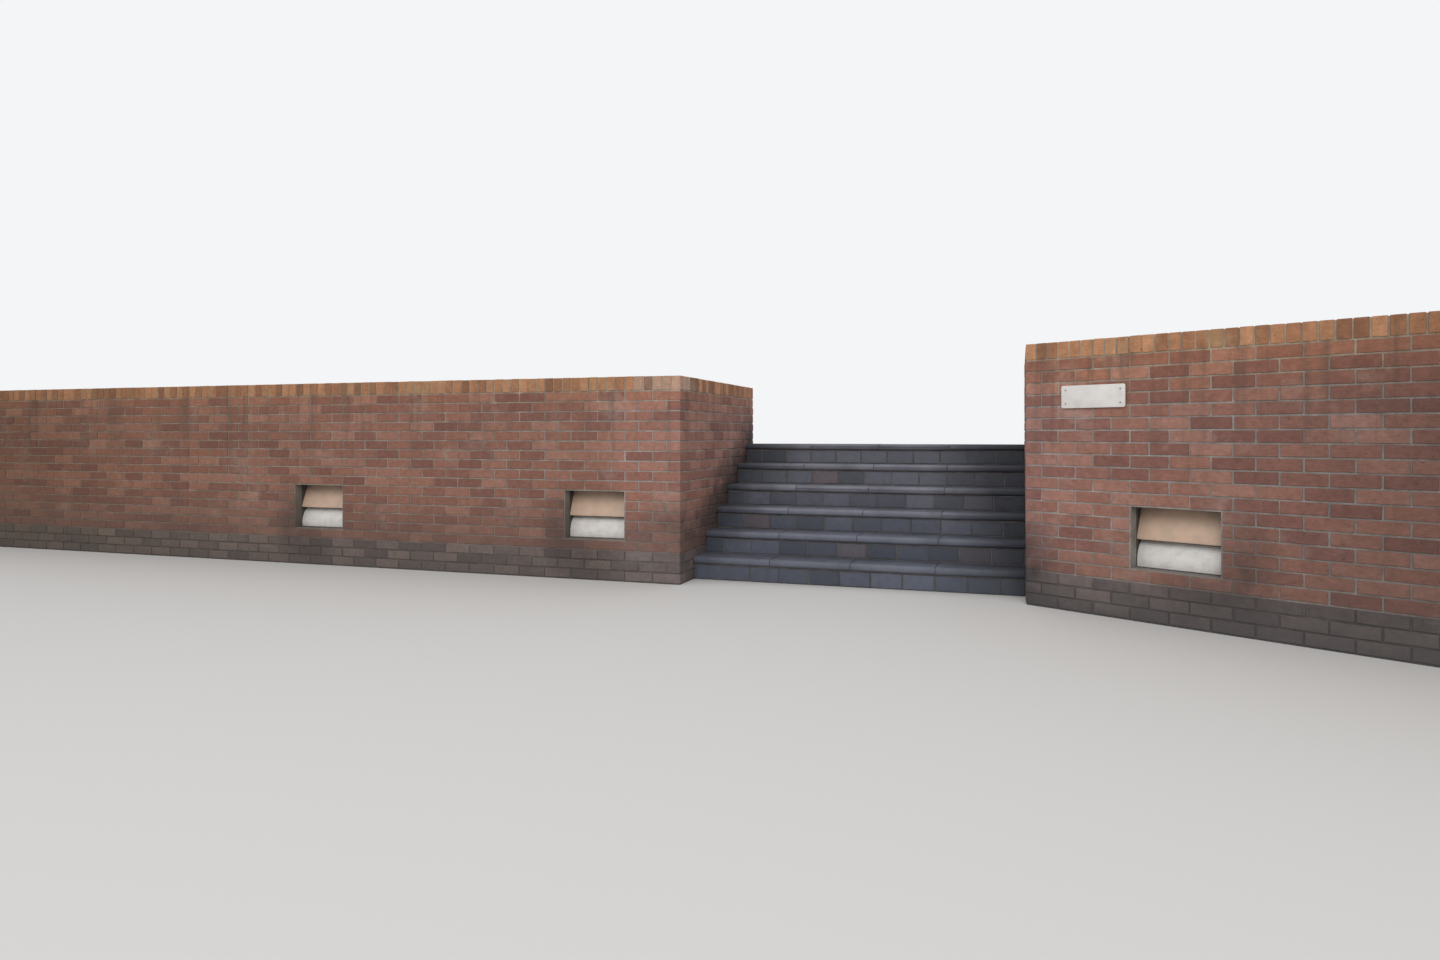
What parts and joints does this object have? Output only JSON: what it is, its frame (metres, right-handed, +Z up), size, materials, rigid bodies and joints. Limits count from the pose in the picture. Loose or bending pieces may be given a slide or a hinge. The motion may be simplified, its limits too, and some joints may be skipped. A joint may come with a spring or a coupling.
{
  "type": "brick garden wall with entrance steps",
  "caption": "Brick garden wall in bays either side of a flight of entrance steps, one run splayed, with an end pier, brick coping, dark foot courses, recessed wall lights and a bare sign plate.",
  "frame": {"origin": "on the ground under the middle of the whole plan", "axes": "+X along the left run towards the right run, +Y from the street into the garden, +Z up"},
  "size_m": [15.3628, 4.6538, 1.6875],
  "materials": {
    "wall_brick": "weathered red-brown facing brick in cement mortar",
    "pier_brick": "cleaner red-brown facing brick in cement mortar",
    "base_brick": "dark dense brick, dirty",
    "coping_brick": "weathered tan brick laid on edge",
    "riser": "dark blue-grey concrete",
    "tread": "dark blue-grey slab, worn",
    "light_housing": "dark painted sheet metal",
    "light_hood": "tan painted sheet metal",
    "light_lens": "pale opal plastic",
    "plate": "white painted metal, bare"
  },
  "bodies": {
    "root": {"left_pier_base": "base_brick", "left_pier_brickwork": "pier_brick", "left_pier_coping": "coping_brick", "left_bay_1_base": "base_brick", "left_bay_1_brickwork": "wall_brick", "left_bay_1_coping": "coping_brick", "left_bay_2_base": "base_brick", "left_bay_2_brickwork": "wall_brick", "left_bay_2_coping": "coping_brick", "left_bay_3_base": "base_brick", "left_bay_3_brickwork": "wall_brick", "left_bay_3_coping": "coping_brick", "left_cheek_base": "base_brick", "left_cheek_brickwork": "wall_brick", "left_cheek_coping": "coping_brick", "right_corner_base": "base_brick", "right_corner_brickwork": "wall_brick", "right_corner_coping": "coping_brick", "right_bay_1_base": "base_brick", "right_bay_1_brickwork": "wall_brick", "right_bay_1_coping": "coping_brick", "right_bay_2_base": "base_brick", "right_bay_2_brickwork": "wall_brick", "right_bay_2_coping": "coping_brick", "right_cheek_base": "base_brick", "right_cheek_brickwork": "wall_brick", "right_cheek_coping": "coping_brick", "flight": "riser", "tread_1": "tread", "tread_2": "tread", "tread_3": "tread", "tread_4": "tread", "tread_5": "tread", "landing": "tread", "light_1_housing": "light_housing", "light_1_hood": "light_hood", "light_1_lens": "light_lens", "light_2_housing": "light_housing", "light_2_hood": "light_hood", "light_2_lens": "light_lens", "light_3_housing": "light_housing", "light_3_hood": "light_hood", "light_3_lens": "light_lens", "sign_plate": "plate"}
  },
  "joints": []
}
